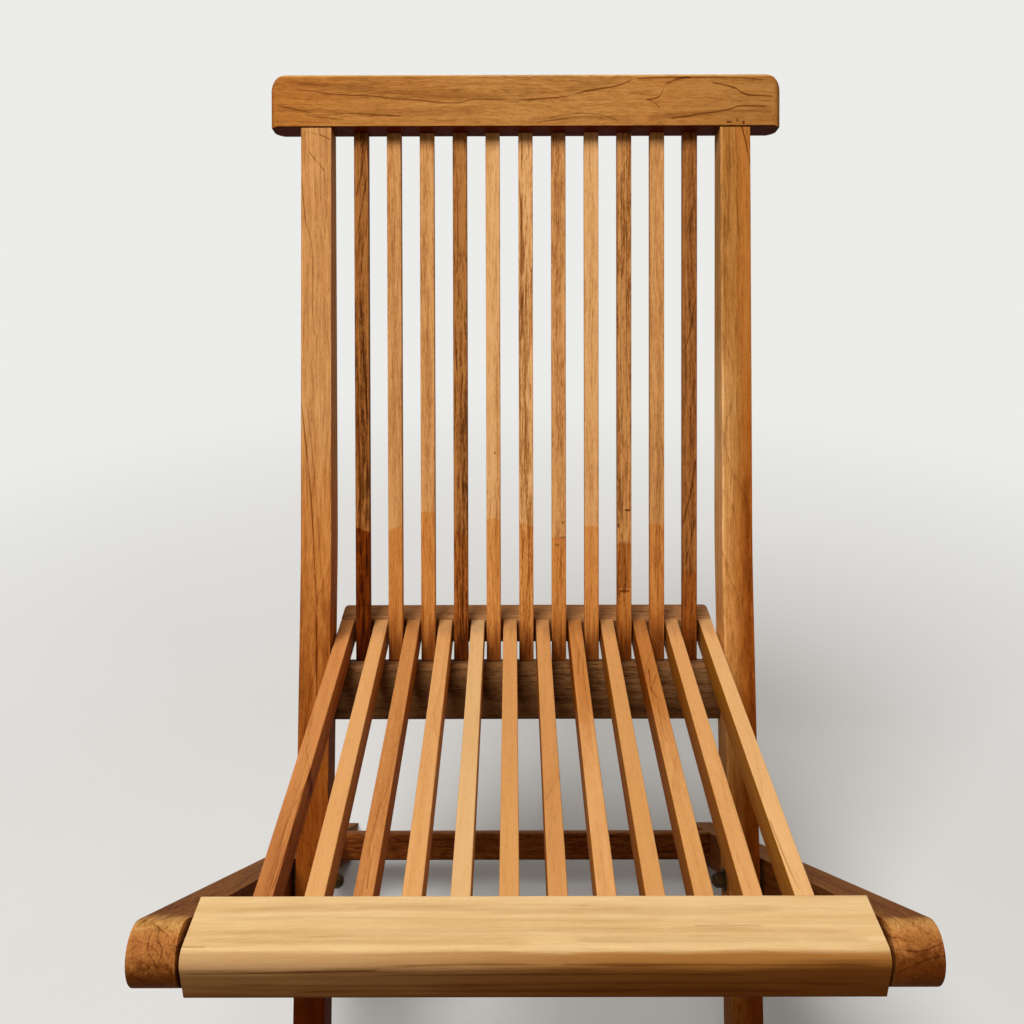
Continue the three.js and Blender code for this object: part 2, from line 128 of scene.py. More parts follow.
class Tree:
    """A material's nodes. Inputs are given by name or by number, as values or as sockets."""

    def __init__(self, name):
        self.material = bpy.data.materials.new(name)
        self.material.use_nodes = True
        self.nodes = self.material.node_tree.nodes
        self.links = self.material.node_tree.links
        self.nodes.clear()

    def add(self, kind, inputs=None, **settings):
        node = self.nodes.new(kind)
        for key, value in settings.items():
            setattr(node, key, value)
        for key, value in (inputs or {}).items():
            socket = node.inputs[key]
            if isinstance(value, bpy.types.NodeSocket):
                self.links.new(value, socket)
            else:
                socket.default_value = value
        return node

    def math(self, operation, first, second=0.0, third=0.0, clamp=False):
        node = self.add("ShaderNodeMath", {0: first, 1: second, 2: third},
                        operation=operation, use_clamp=clamp)
        return node.outputs[0]

    def times(self, first, second):
        return self.math("MULTIPLY", first, second)

    def blend(self, value, weight, base):
        """The value times its weight, on top of a base."""
        return self.math("MULTIPLY_ADD", value, weight, base)

    def vector(self, operation, first, second=(0, 0, 0)):
        node = self.add("ShaderNodeVectorMath", {0: first, 1: second}, operation=operation)
        return node.outputs["Value" if operation == "LENGTH" else "Vector"]

    def parts(self, vector):
        return self.add("ShaderNodeSeparateXYZ", {0: vector}).outputs

    def mix(self, factor, first, second, blend="MIX"):
        node = self.add("ShaderNodeMix", {0: factor, 6: first, 7: second},
                        data_type="RGBA", blend_type=blend, clamp_factor=True)
        return node.outputs[2]

    def tinted(self, colour, mask, tint):
        return self.mix(mask, colour, tint, "MULTIPLY")

    def noise(self, place, kind, length=1.0):
        """Outputs of a noise whose waves along the grain are drawn out length times."""
        stretch = (kind.along / length, kind.across, kind.across)
        return self.add("ShaderNodeTexNoise", {
            "Vector": self.vector("MULTIPLY", place, stretch), "Scale": 1.0,
            "Detail": kind.detail, "Roughness": kind.roughness,
        }).outputs

    def ramp(self, value, low, high):
        """0 below low, 1 above high, smooth between them."""
        node = self.add("ShaderNodeMapRange", {"Value": value, "From Min": low, "From Max": high},
                        interpolation_type="SMOOTHSTEP")
        return node.outputs[0]

    def band(self, value, rise, fall):
        """Rises over the first pair of values and falls over the second."""
        return self.times(self.ramp(value, *rise), self.ramp(value, *fall))

    def curve(self, value, points):
        """A smooth curve through points whose coordinates run from 0 to 1."""
        node = self.add("ShaderNodeFloatCurve", {"Value": value})
        line = node.mapping.curves[0]
        while len(line.points) < len(points):
            line.points.new(0.5, 0.5)
        for point, (across, up) in zip(line.points, points):
            point.location = (across, up)
        node.mapping.update()
        return node.outputs[0]

    def stops(self, value, stops):
        node = self.add("ShaderNodeValToRGB", {0: value})
        elements = node.color_ramp.elements
        while len(elements) < len(stops):
            elements.new(0.5)
        for element, (position, colour) in zip(elements, stops):
            element.position = position
            element.color = colour
        return node.outputs[0]

    def surface(self, colour, rough, height, strength, distance):
        """Puts a shader with a bump on the surface, and gives the shader back."""
        bump = self.add("ShaderNodeBump", {
            "Strength": strength, "Distance": distance, "Height": height,
        })
        shader = self.add("ShaderNodeBsdfPrincipled", {
            "Base Color": colour, "Roughness": rough, "Normal": bump.outputs[0],
        })
        self.show(shader)
        return shader

    def show(self, shader):
        out = self.add("ShaderNodeOutputMaterial")
        self.links.new(shader.outputs[0], out.inputs[0])


# Teak

# Tones of the wood: light, middle and dark grain
TONES = {
    "honey": ((222, 162, 98), (203, 140, 80), (146, 88, 42)),
    "ochre": ((208, 148, 84), (190, 126, 68), (130, 76, 30)),
    "amber": ((198, 137, 70), (181, 118, 54), (118, 68, 24)),
    "pale": ((234, 178, 116), (218, 157, 95), (166, 106, 52)),
    "straw": ((234, 200, 146), (222, 182, 126), (186, 134, 80)),
    "pink": ((210, 146, 86), (194, 126, 67), (136, 78, 36)),
    "brown": ((174, 112, 54), (150, 89, 38), (88, 46, 14)),
    # Dark umber that also stands for painted shade
    "shaded_umber": ((138, 76, 30), (113, 54, 17), (62, 26, 6)),
    "grey": ((178, 126, 78), (158, 107, 63), (104, 66, 35)),
    "smoky": ((140, 98, 60), (116, 77, 42), (66, 38, 18)),
    "tawny": ((182, 121, 62), (160, 98, 46), (94, 52, 18)),
    "rust": ((216, 148, 86), (201, 131, 72), (136, 79, 34)),
    "sand": ((234, 190, 134), (220, 171, 113), (178, 124, 70)),
    "wheat": ((224, 166, 102), (208, 146, 84), (156, 102, 50)),
    "cream": ((240, 194, 130), (226, 171, 111), (180, 126, 66)),
}
TONE_STOPS = (0.0, 0.38, 1.0)
PORE = linear((84, 44, 16))

# Tints that the wood is multiplied with. Some are the wood's own colour, and many paint light or
# shade onto it
END_GRAIN = (0.72, 0.58, 0.42, 1)
# Warmer and darker: the back slats' darker feet and the right post's redder outer edge, and painted
# shade on the left seat slats' sides, the posts' lower parts and the crest's left end
DEEPER_TONE_AND_SHADE = (0.93, 0.74, 0.5, 1)
SHADED = (0.66, 0.52, 0.34, 1)
# Greyer: weathering on the seat slats' rear ends, and painted shade on the crest's right end
GREYING_AND_SHADE = (0.7, 0.68, 0.68, 1)
# Painted deep shade on the posts' feet, the legs' rounded tops and the front rail's face
DEEP_SHADE = (0.3, 0.17, 0.05, 1)
# Painted shade on the crest's underside
UNDERSIDE_SHADE = (0.24, 0.09, 0.04, 1)
# Painted highlight on tops, edges and sides that face the light
PAINTED_HIGHLIGHT = (1.4, 1.9, 2.8, 1)
RUSTED = (0.77, 0.6, 0.42, 1)
# Deep russet: the first back slat's darker foot, and painted shade on the right seat slats' sides
RUSSET = (0.55, 0.37, 0.1, 1)
# Painted shade on the back slats behind the seat and on the lower back rail
DIM_SHADE = (0.5, 0.42, 0.36, 1)
# Painted soft highlight on the legs' faces turned along Y
SOFT_HIGHLIGHT = (1.1, 1.3, 1.3, 1)
# Painted highlight along the right post's inner edge
LIT = (1.45, 1.75, 2.6, 1)
# Greyer and darker: the first seat slat's front and a band on the right leg, and partly painted
# shade at the front rail's nose
MUTED_AND_SHADE = (0.78, 0.7, 0.66, 1)
# Browner and darker at the front rail's nose: partly browner wood, partly painted shade
BROWN_AND_SHADE = (0.62, 0.42, 0.2, 1)
MARK = (0.22, 0.14, 0.08, 1)
GRAIN_LINE = (0.34, 0.2, 0.08, 1)

# Grain runs along the first axis of these orders, across the face along the second
ALONG_X = "XZY"
ALONG_X_FLAT = "XYZ"
ALONG_Y = "YXZ"
ALONG_Z = "ZXY"

# Each piece is cut from its own place in the noises, at most this far out
CUT_RANGE = 9
NOISE_MIDDLE = 0.5

# Growth rings round a heart beside the piece, which the grain crosses at a small angle
HEART_ASIDE = (0.01, 0.05)
HEART_DEPTH = (0.02, 0.07)
RING_LEAN = (0.02, 0.06)
SWAY = Noise(7, 10, 1.0)
WIGGLE = Noise(42, 60)
SWAY_REACH = 0.022
WIGGLE_REACH = 0.0022
LATE_RISE, LATE_FALL = (0.35, 0.95), (1.0, 0.95)
BOLD_RISE, BOLD_FALL = (0.84, 0.93), (0.99, 0.94)
BOLD_CHANCE = (0.45, 0.8)
LATE_DEPTH = 0.42
BOLD_DEPTH = 0.62

# Streaks swing a little across the piece. Bold lines and strokes fade here and there
SWING = Noise(5, 9, 1.0)
SWING_REACH = (0, 0.012, 0.012)
FADING = Noise(30, 120)
RING_FADE = (0.3, 0.6)
STREAK = Noise(6, 210, 3.0, 0.55)
BROAD = Noise(5, 34)
CLOUD = Noise(16, 26)
FLECK = Noise(80, 620, 2.0, 0.6)
FIBRE = Noise(200, 900, 2.0, 0.6)
DASH = Noise(70, 800, 1.0)
PORE_DASH = (0.6, 0.72)
PORE_STREAK = (0.38, 0.6)

# Base shade and how much each noise adds to it at full contrast
BASE_SHADE = 0.3
STREAK_WEIGHT = 1.4
BROAD_WEIGHT = 1.0
CLOUD_WEIGHT = 0.6
FLECK_WEIGHT = 2.0
FIBRE_WEIGHT, LEAST_FIBRE_WEIGHT = 0.9, 0.3

# End grain is deeper in colour
END_FACING = (0.35, 0.95)
END_STRENGTH = 0.75

# Tints, marks and strokes have ragged edges, along this noise
RAGGED = Noise(16, 260)
PATCH_RAGGEDNESS = 1.2
MARK_RAGGEDNESS = 1.5
MARK_EDGE = (1.0, 0.4)
STROKE_RAGGEDNESS = 1.6
STROKE_CORE = 0.2
STROKE_END = 0.06
STROKE_FADE = (0.22, 0.42)

ROUGHNESS, FIBRE_ROUGHNESS, PORE_ROUGHNESS = 0.55, 0.16, 0.15
FIBRE_RELIEF, PORE_RELIEF, BOLD_RELIEF = 0.6, -1.0, -0.5
RELIEF_STRENGTH = 0.35
RELIEF_DEPTH = 0.0003
SPECULAR = 0.03

# A patch's tint sets in from start to end on an axis of the body, or on H, the height when the
# chair stands open, and holds beyond the end. tilt slants that edge along X, and each of the
# limits (axis, start, end) narrows the patch in the same way. A face's tint sets in as the
# surface turns along an axis.
Patch = namedtuple("Patch", "axis start end tint strength tilt limits", defaults=(1.0, 0.0, ()))
Face = namedtuple("Face", "axis start end tint strength", defaults=(1.0,))


class Wood(Tree):
    """A tree that knows its place on a piece of wood, in the body's axes and along the grain."""

    def __init__(self, node, body, order, seed):
        super().__init__(node)
        self.order = order
        self.seed = seed
        self.draw = random.Random(seed)
        pivot, turn = BODY_PLACES[body]
        source = self.add("ShaderNodeTexCoord").outputs
        local = self.add("ShaderNodeMapping", {
            "Vector": source["Object"], "Location": pivot, "Rotation": (turn, 0, 0),
        }, vector_type="TEXTURE").outputs[0]
        facing = self.add("ShaderNodeMapping", {
            "Vector": source["Normal"], "Rotation": (turn, 0, 0),
        }, vector_type="TEXTURE").outputs[0]
        self.axes = self.parts(local)
        self.sides = self.parts(facing)
        self.height = self.parts(source["Object"])["Z"]
        middle = centre_of(node, body)
        self.grain = self.add("ShaderNodeCombineXYZ", {
            axis: self.math("SUBTRACT", self.axes[letter], middle[letter])
            for axis, letter in zip("XYZ", order)
        }).outputs[0]
        cut = tuple(self.draw.uniform(-CUT_RANGE, CUT_RANGE) for _ in range(3))
        self.place = self.vector("ADD", self.grain, cut)
        self.fading = self.noise(self.place, FADING)["Fac"]
        self.ragged = self.centred(self.noise(self.place, RAGGED)["Fac"])

    def centred(self, field):
        return self.math("SUBTRACT", field, NOISE_MIDDLE)

    def rings(self, wave, ring_width, heart, slant):
        """Late wood and bold lines of the growth rings."""
        draw = self.draw
        aside, deep = heart or (draw.choice((-1, 1)) * draw.uniform(*HEART_ASIDE),
                                draw.uniform(*HEART_DEPTH))
        lean = draw.choice((-1, 1)) * draw.uniform(*RING_LEAN) if slant is None else slant
        parts = self.parts(self.grain)
        across = self.math("ADD", parts["Y"], aside)
        depth = self.math("ADD", self.blend(parts["X"], lean, parts["Z"]), deep)
        distance = self.math("SQRT", self.math("ADD", self.times(across, across),
                                               self.times(depth, depth)))
        for kind, reach in ((SWAY, SWAY_REACH), (WIGGLE, WIGGLE_REACH)):
            distance = self.blend(self.noise(self.place, kind)["Fac"], reach * wave, distance)
        count = self.math("DIVIDE", distance, ring_width)
        ring = self.math("FRACT", count)
        number = self.math("ADD", self.math("FLOOR", count), self.seed)
        chance = self.add("ShaderNodeTexWhiteNoise", {"W": number},
                          noise_dimensions="1D").outputs["Value"]
        late = self.times(self.band(ring, LATE_RISE, LATE_FALL), chance)
        bold = self.times(self.band(ring, BOLD_RISE, BOLD_FALL), self.ramp(chance, *BOLD_CHANCE))
        return late, self.times(bold, self.ramp(self.fading, *RING_FADE))

    def patched(self, colour, patch):
        level = self.height if patch.axis == "H" else self.axes[patch.axis]
        level = self.blend(self.axes["X"], patch.tilt, level)
        reach = abs(patch.end - patch.start) * PATCH_RAGGEDNESS
        level = self.blend(self.ragged, reach, level)
        mask = self.times(self.ramp(level, patch.start, patch.end), patch.strength)
        for axis, start, end in patch.limits:
            mask = self.times(mask, self.ramp(self.axes[axis], start, end))
        return self.tinted(colour, mask, patch.tint)

    def faced(self, colour, face):
        mask = self.times(self.ramp(self.sides[face.axis], face.start, face.end), face.strength)
        return self.tinted(colour, mask, face.tint)

    def marked(self, colour, along, across, half_length, half_breadth, strength):
        """A small dark oval."""
        reaches = [
            self.math("DIVIDE", self.math("SUBTRACT", self.axes[axis], place), half)
            for axis, place, half in zip(self.order, (along, across), (half_length, half_breadth))
        ]
        reach = self.math("ADD", *(self.times(part, part) for part in reaches))
        reach = self.blend(self.ragged, MARK_RAGGEDNESS, reach)
        return self.tinted(colour, self.times(self.ramp(reach, *MARK_EDGE), strength), MARK)

    def stroked(self, colour, points, breadth, strength, run=None, rise=None):
        """A dark line of the grain through points along and across it, or on two other axes."""
        first, reach = points[0][0], points[-1][0] - points[0][0]
        low = min(up for _, up in points)
        span = max(up for _, up in points) - low or 1
        share = self.math("SUBTRACT", self.axes[run or self.order[0]], first / MM)
        share = self.math("DIVIDE", share, reach / MM)
        line = self.curve(share, [((a - first) / reach, (b - low) / span) for a, b in points])
        line = self.blend(line, span / MM, low / MM)
        away = self.math("SUBTRACT", self.axes[rise or self.order[1]], line)
        away = self.math("ABSOLUTE", away)
        away = self.blend(self.ragged, STROKE_RAGGEDNESS * breadth / MM, away)
        mask = self.ramp(away, breadth / MM, STROKE_CORE * breadth / MM)
        mask = self.times(mask, strength)
        mask = self.times(mask, self.band(share, (0.0, STROKE_END), (1.0, 1.0 - STROKE_END)))
        mask = self.times(mask, self.ramp(self.fading, *STROKE_FADE))
        return self.tinted(colour, mask, GRAIN_LINE)


def teak(node, body, order, tone, seed, lines=0.6, contrast=1.0, pores=0.3, wave=1.0,
         ring_width=0.0065, heart=None, slant=None, fine=1.0, length=1.0,
         faces=(), patches=(), marks=(), strokes=()):
    """Teak with its grain along the piece. heart is the distance across and in depth from the
    piece's middle to the middle of its growth rings, and slant leans the rings along the piece.
    fine scales the flecks and fibres, length draws out the streaks."""
    wood = Wood(node, body, order, seed)
    place = wood.place
    late, bold = wood.rings(wave, ring_width, heart, slant)

    # Streaks, fibres and pores along the grain
    swing = wood.vector("MULTIPLY", wood.noise(place, SWING)["Color"], SWING_REACH)
    bent = wood.vector("ADD", place, swing)
    streak = wood.noise(bent, STREAK, length)["Fac"]
    broad = wood.noise(bent, BROAD, length)["Fac"]
    cloud = wood.noise(place, CLOUD)["Fac"]
    fleck = wood.noise(bent, FLECK, length)["Fac"]
    fibre = wood.noise(place, FIBRE)["Fac"]
    dash = wood.noise(bent, DASH)["Fac"]
    pore = wood.times(wood.ramp(dash, *PORE_DASH), wood.ramp(streak, *PORE_STREAK))

    shade = wood.blend(late, lines * LATE_DEPTH, BASE_SHADE)
    shade = wood.blend(bold, lines * BOLD_DEPTH, shade)
    for field, weight in (
        (streak, STREAK_WEIGHT * contrast),
        (broad, BROAD_WEIGHT * contrast),
        (cloud, CLOUD_WEIGHT * contrast),
        (fleck, FLECK_WEIGHT * contrast * fine),
        (fibre, (LEAST_FIBRE_WEIGHT + FIBRE_WEIGHT * contrast) * fine),
    ):
        shade = wood.blend(wood.centred(field), weight, shade)
    shade = wood.math("ADD", shade, 0.0, clamp=True)
    colour = wood.stops(shade, list(zip(TONE_STOPS, map(linear, TONES[tone]))))
    colour = wood.mix(wood.times(pore, pores), colour, PORE)

    ends = wood.ramp(wood.math("ABSOLUTE", wood.sides[order[0]]), *END_FACING)
    colour = wood.tinted(colour, wood.times(ends, END_STRENGTH), END_GRAIN)
    for face in faces:
        colour = wood.faced(colour, face)
    for patch in patches:
        colour = wood.patched(colour, patch)
    for mark in marks:
        colour = wood.marked(colour, *mark)
    for stroke in strokes:
        colour = wood.stroked(colour, *stroke)

    rough = wood.blend(fibre, FIBRE_ROUGHNESS, ROUGHNESS)
    rough = wood.blend(pore, PORE_ROUGHNESS, rough)
    relief = wood.blend(pore, PORE_RELIEF, wood.times(fibre, FIBRE_RELIEF))
    relief = wood.blend(bold, BOLD_RELIEF, relief)
    shader = wood.surface(colour, rough, relief, RELIEF_STRENGTH, RELIEF_DEPTH)
    shader.inputs["Specular IOR Level"].default_value = SPECULAR
    return wood.material


# Brass that has dulled outdoors, with fine scratches and darker blotches

BLOTCH = Noise(140, 140, 3.0)
SCRATCH = Noise(300, 2600)
BRASS_STOPS = [(0.3, linear((74, 54, 30))), (0.7, linear((38, 27, 15)))]
BRASS_ROUGHNESS, BLOTCH_ROUGHNESS, SCRATCH_ROUGHNESS = 0.4, 0.25, 0.12
SCRATCH_STRENGTH = 0.2
SCRATCH_DEPTH = 0.0001
SEED_STEPS = (1, 0.7, 0.3)


def brass(name, seed):
    tree = Tree(name)
    source = tree.add("ShaderNodeTexCoord").outputs["Object"]
    place = tree.vector("ADD", source, tuple(seed * step for step in SEED_STEPS))
    blotch = tree.noise(place, BLOTCH)["Fac"]
    scratch = tree.noise(place, SCRATCH)["Fac"]
    rough = tree.blend(blotch, BLOTCH_ROUGHNESS, BRASS_ROUGHNESS)
    rough = tree.blend(scratch, SCRATCH_ROUGHNESS, rough)
    shader = tree.surface(tree.stops(blotch, BRASS_STOPS), rough, scratch,
                          SCRATCH_STRENGTH, SCRATCH_DEPTH)
    shader.inputs["Metallic"].default_value = 1.0
    return tree.material


# Pieces

WELD = 1e-6
FLAT_ANGLE = math.radians(0.3)
SHARP_ANGLE = math.radians(32)

# Eased edges: width and steps
FINE_EDGE = (0.0008, 2)
RAIL_EDGE = (0.001, 2)
POST_EDGE = (0.0018, 3)
LEG_EDGE = (0.0025, 3)


def dressed(node, edge, material):
    """A copy of a solid with its sharp edges eased, which stands for it."""
    source = frame["nodes"][node]
    mesh = source.data.copy()
    mesh.materials.clear()
    form = bmesh.new()
    form.from_mesh(mesh)
    bmesh.ops.remove_doubles(form, verts=form.verts, dist=WELD)
    bmesh.ops.dissolve_limit(form, angle_limit=FLAT_ANGLE, verts=form.verts, edges=form.edges)
    form.to_mesh(mesh)
    form.free()
    if "custom_normal" in mesh.attributes:
        mesh.attributes.remove(mesh.attributes["custom_normal"])
    mesh.polygons.foreach_set("use_smooth", [True] * len(mesh.polygons))
    mesh.materials.append(material)
    piece = bpy.data.objects.new(f"{node}_piece", mesh)
    bpy.context.scene.collection.objects.link(piece)
    bevel = piece.modifiers.new("ease", "BEVEL")
    bevel.width, bevel.segments = edge
    bevel.limit_method = "ANGLE"
    bevel.angle_limit = SHARP_ANGLE
    weighted = piece.modifiers.new("normals", "WEIGHTED_NORMAL")
    weighted.keep_sharp = True
    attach(piece, source["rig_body"])
    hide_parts(node)


def wooden(node, body, order, tone, edge, seed, **looks):
    """A piece in teak of its own."""
    dressed(node, edge, teak(node, body, order, tone, seed, **looks))


# Marks are place along and across, half length and half breadth in metres, and strength.
# Strokes are points along and across and half breadth in millimetres, strength and, where they
# lie on another side of the piece, the two axes of that side.

# Back slats from left to right: tone, lines, contrast, height of the darker foot and its slant
BACK_SLATS = [
    ("brown", 0.6, 1.5, 0.3195, 0.3),
    ("honey", 0.3, 0.8, 0.3215, -0.4),
    ("honey", 0.3, 0.9, 0.336, 0.0),
    ("tawny", 0.3, 1.5, 0.3165, 0.35),
    ("pale", 0.2, 0.8, 0.33, 0.0),
    ("pale", 0.5, 1.6, 0.324, 0.2),
    ("honey", 0.4, 1.1, 0.312, 0.1),
    ("pale", 0.2, 0.7, 0.3225, 0.1),
    ("ochre", 0.5, 1.5, 0.306, 0.0),
    ("honey", 0.3, 0.8, 0.324, 0.1),
    ("tawny", 0.2, 0.9, 0.28, 0.0),
]
BACK_SLAT_SEED = 10
FOOT_EDGE = 0.001
DARKEST_FOOT = 1

# Painted shade: all back slats darken behind the seat
SLAT_ROOT_SHADE = [Patch("Z", 0.26, 0.21, SHADED, 0.8), Patch("Z", 0.238, 0.204, DIM_SHADE)]
SLAT_MARKS = {
    1: [(0.303, -0.1575, 0.008, 0.003, 0.5), (0.288, -0.1525, 0.009, 0.0035, 0.5),
        (0.269, -0.157, 0.011, 0.003, 0.45)],
    5: [(0.392, -0.0296, 0.0022, 0.0008, 0.8)],
    7: [(0.312, 0.0345, 0.0016, 0.004, 0.5), (0.305, 0.0295, 0.0014, 0.003, 0.45),
        (0.326, 0.0345, 0.0016, 0.002, 0.5)],
    9: [(0.3376, 0.096, 0.0014, 0.0035, 0.9), (0.323, 0.0875, 0.003, 0.0015, 0.8),
        (0.261, 0.093, 0.0018, 0.0055, 0.8)],
}
SLAT_STROKES = {
    1: [([(592, -160.5), (616, -156), (654, -149.5)], 0.8, 0.7),
        ([(633, -160), (658, -154.4), (687, -149.4)], 0.9, 0.7),
        ([(310, -159), (345, -157), (400, -158), (450, -160)], 1.6, 0.8),
        ([(320, -152), (380, -150.5), (470, -151)], 0.7, 0.6),
        ([(210, -158), (262, -152), (315, -151)], 1.4, 0.8)],
    4: [([(310, -58), (380, -60), (430, -58)], 0.7, 0.6),
        ([(560, -66), (600, -64), (660, -66)], 0.8, 0.6)],
    6: [([(478, -4.5), (560, -3.5), (640, -4)], 1.3, 0.85),
        ([(490, -1.5), (530, -2.4), (600, -1.6)], 0.6, 0.8),
        ([(390, 1), (480, -1), (560, 0.5)], 0.5, 0.6),
        ([(330, -2), (420, 2.6), (470, 2)], 0.5, 0.5)],
    9: [([(400, 91), (470, 89.6), (560, 90), (660, 91)], 0.6, 0.7),
        ([(430, 96), (540, 95), (690, 96.5)], 0.5, 0.7),
        ([(262, 92.5), (285, 92.5), (309, 92.5)], 9.0, 0.6)],
    11: [([(590, 151), (604, 153), (619, 157), (632, 161.3)], 0.8, 0.9),
         ([(488, 150), (514, 156.6), (528, 158.7), (541, 161.5)], 0.8, 0.8),
         ([(323, 148.5), (339, 152), (358, 156.6), (387, 160.4)], 1.0, 0.9),
         ([(282, 149), (300, 154), (330, 160)], 0.8, 0.7)],
}

# Seat slats from left to right: tone, lines, contrast
SEAT_SLATS = [
    ("rust", 0.4, 0.45), ("pale", 0.15, 0.16), ("pink", 0.4, 0.5), ("pale", 0.3, 0.28),
    ("sand", 0.15, 0.2), ("wheat", 0.2, 0.2), ("honey", 0.2, 0.22), ("pale", 0.3, 0.35),
    ("wheat", 0.15, 0.2), ("wheat", 0.3, 0.35), ("pale", 0.15, 0.2), ("cream", 0.2, 0.22),
]
SEAT_SLAT_SEED = 40

# Painted shade on the slats' sides towards the chair's middle
FIRST_RIGHT_SLAT = 7
SEAT_LEFT_SIDE_SHADE = [Face("X", 0.3, 0.8, DEEPER_TONE_AND_SHADE, 0.8)]
SEAT_RIGHT_SIDE_SHADE = [Face("X", -0.3, -0.8, RUSSET)]

# Rear ends of all slats greyed, and painted shade on their lower halves, then what single ones have
# besides
SEAT_PATCHES = [Patch("Y", 0.36, 0.392, GREYING_AND_SHADE, 0.9), Patch("Z", 0.006, -0.012, SHADED, 0.8)]
SEAT_SLAT_PATCHES = {
    1: [Patch("Y", 0.18, 0.05, MUTED_AND_SHADE, 0.9)],
    8: [Patch("Y", 0.14, 0.28, RUSTED)],
    10: [Patch("Y", 0.14, 0.28, RUSTED)],
}
SEAT_STROKES = {
    1: [([(38, -167.9), (60, -166.9), (88, -166.3), (130, -166.6), (179, -164.5)], 0.5, 0.9),
        ([(45, -172), (90, -171.4), (140, -171), (200, -170)], 0.5, 0.4)],
    3: [([(40, -106.5), (60, -107.4), (84, -106.6)], 0.7, 0.6),
        ([(70, -110), (96, -109.6), (130, -108)], 0.5, 0.5)],
    4: [([(150, -72), (200, -71.6), (250, -72)], 0.5, 0.4)],
    8: [([(300, 44), (320, 45.5), (345, 47)], 1.6, 0.35),
        ([(240, 50), (290, 49), (330, 50.4)], 0.8, 0.35)],
    10: [([(262, 110), (270, 106.8), (278, 105.4), (290, 105.8), (312, 107)], 0.9, 0.8),
         ([(278, 105), (290, 109), (304, 113)], 0.7, 0.6),
         ([(200, 108), (230, 107), (262, 109.6)], 0.8, 0.4)],
    12: [([(38, 170.5), (58, 168.7), (84, 167.6), (110, 167)], 0.8, 0.55)],
}

# Posts darken towards their feet in painted shade, deepest below the seat. The right one has
# painted highlights along its inner edge and on its inner side face, and is redder towards its
# outer edge
POST_TONES = {"left": "honey", "right": "amber"}
POST_SEEDS = {"left": 71, "right": 72}
POST_PATCHES = {
    "left": [
        Patch("Z", 0.44, 0.28, DEEPER_TONE_AND_SHADE), Patch("Z", 0.36, 0.15, SHADED),
        Patch("H", 0.36, 0.3, SHADED, 0.9), Patch("H", 0.215, 0.165, DEEP_SHADE),
    ],
    "right": [
        Patch("Z", 0.44, 0.28, DEEPER_TONE_AND_SHADE, 0.6), Patch("Z", 0.36, 0.15, SHADED, 0.6),
        Patch("H", 0.36, 0.3, SHADED, 0.9), Patch("H", 0.215, 0.165, DEEP_SHADE, 0.5),
        Patch("X", 0.192, 0.2, DEEPER_TONE_AND_SHADE, 0.75),
        Patch("X", 0.198, 0.184, LIT, limits=[("Z", 0.52, 0.42)]),
        Patch("X", 0.198, 0.208, DEEPER_TONE_AND_SHADE, 0.8, limits=[("Z", 0.52, 0.42)]),
        Patch("X", 0.1832, 0.1822, LIT, 0.55, limits=[("X", 0.1806, 0.1812)]),
    ],
}
# Painted light on the right post's inner side face
POST_FACE_HIGHLIGHT = {"left": [], "right": [Face("X", -0.4, -0.9, PAINTED_HIGHLIGHT, 0.4)]}
POST_STROKES = {
    "left": [
        ([(496, -195), (520, -197.5), (559, -197.5), (583, -198.5), (606, -204), (649, -208)],
         0.8, 0.6),
        ([(245, -192.5), (284, -195.4), (339, -198.4), (389, -202.8), (413, -205.4), (445, -209)],
         0.9, 0.85),
        ([(270, -189), (340, -193.5), (390, -198), (440, -203)], 0.7, 0.5),
        ([(682, -181), (686.7, -190.5), (690, -206.5)], 2.0, 0.7),
        ([(652, -186.3), (658.4, -190.5), (665, -196.4), (674.4, -202.6)], 0.8, 0.8),
        ([(686, -190.5), (691, -192), (698, -193)], 0.8, 0.7),
        ([(100, -191), (150, -191.5), (200, -192.5), (250, -193.5)], 0.9, 0.95),
        ([(120, -209.5), (180, -208), (250, -206)], 0.7, 0.6),
        ([(100, -183), (180, -184), (260, -185)], 7.0, 0.3),
    ],
    "right": [
        ([(652, 209.4), (671, 205.9), (684, 203.1), (698, 199.1)], 1.0, 0.95),
        ([(578, 199.2), (594, 197.5), (619, 196.1), (638, 195.3)], 0.8, 0.6),
        ([(590, 187), (620, 188), (660, 186)], 1.4, 0.4),
        ([(120, 205), (250, 204), (340, 203.5), (376, 206)], 6.5, 0.45),
    ],
}
LEG_SEEDS = {"left": 73, "right": 74}

# Painted shade: the legs' rounded tops darken downward
LEG_PATCHES = {
    "left": [Patch("H", 0.46, 0.447, DEEP_SHADE, 0.9)],
    "right": [Patch("H", 0.4652, 0.4548, DEEP_SHADE, 0.9), Patch("X", 0.2215, 0.227, MUTED_AND_SHADE, 0.6)],
}
LEG_STROKES = {
    "left": [([(0, -221.8), (4.9, -221.2), (10.4, -224.7), (17.5, -226.2)], 0.5, 0.75, "Y", "X"),
             ([(-7, -220.5), (-1.7, -225), (8, -230), (15.8, -229.6)], 0.5, 0.7, "Y", "X")],
    "right": [([(213, 5.5), (217, 4.5), (227, 4), (237, 6.5), (243, 8.5)], 1.0, 0.7, "X", "Y"),
              ([(213, -9), (222, -4.5), (234, 0), (243, 1.5)], 1.0, 0.6, "X", "Y")],
}
